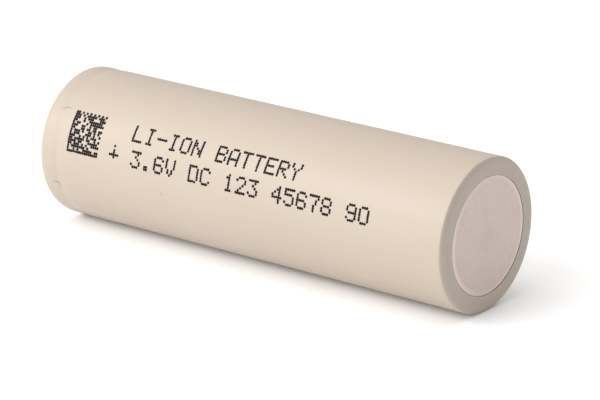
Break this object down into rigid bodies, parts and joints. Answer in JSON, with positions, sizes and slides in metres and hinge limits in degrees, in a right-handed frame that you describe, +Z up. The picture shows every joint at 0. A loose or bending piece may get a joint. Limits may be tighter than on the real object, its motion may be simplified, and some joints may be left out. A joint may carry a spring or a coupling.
{
  "type": "cylindrical battery cell",
  "caption": "Cylindrical lithium-ion cell lying on its side: steel can in a folded shrink sleeve, crimped positive cap with vent and current interrupt, wound electrode roll with tabs inside.",
  "frame": {"origin": "on the ground under the middle of the cell, which lies on its side", "axes": "+X along the cell from the positive terminal to the bare negative base, -Y the printed front, +Z up"},
  "size_m": [0.0702, 0.0212, 0.0213],
  "materials": {
    "sleeve_film": "satin cream heat-shrink film, slightly wavy",
    "nickel_plated_steel": "matte nickel plate on deep-drawn steel, fine speckle",
    "washer_paper": "white insulating fibre paper",
    "gasket_polymer": "translucent grey-white polypropylene",
    "aluminium_sheet": "bare rolled aluminium",
    "insulator_polymer": "natural polypropylene",
    "separator_film": "white microporous film",
    "anode_coating": "matte graphite coating on copper foil",
    "cathode_coating": "matte black oxide coating on aluminium foil",
    "nickel_strip": "rolled nickel strip",
    "polyimide_tape": "amber polyimide tape",
    "winding_tape_film": "thin green polyester tape",
    "print_ink": "black inkjet dots"
  },
  "bodies": {
    "root": {"shrink_sleeve": "sleeve_film", "cell_can": "nickel_plated_steel", "top_insulating_washer": "washer_paper", "crimp_gasket": "gasket_polymer", "positive_cap": "nickel_plated_steel", "vent_disc": "aluminium_sheet", "cid_plate": "aluminium_sheet", "cid_insulator_ring": "insulator_polymer", "upper_insulator_disc": "insulator_polymer", "lower_insulator_disc": "insulator_polymer", "inner_separator": "separator_film", "anode_sheet": "anode_coating", "outer_separator": "separator_film", "cathode_sheet": "cathode_coating", "positive_tab": "aluminium_sheet", "positive_tab_tape": "polyimide_tape", "negative_tab_outer": "nickel_strip", "negative_tab_inner": "nickel_strip", "negative_tab_tape": "polyimide_tape", "winding_tape": "winding_tape_film"}
  },
  "joints": []
}
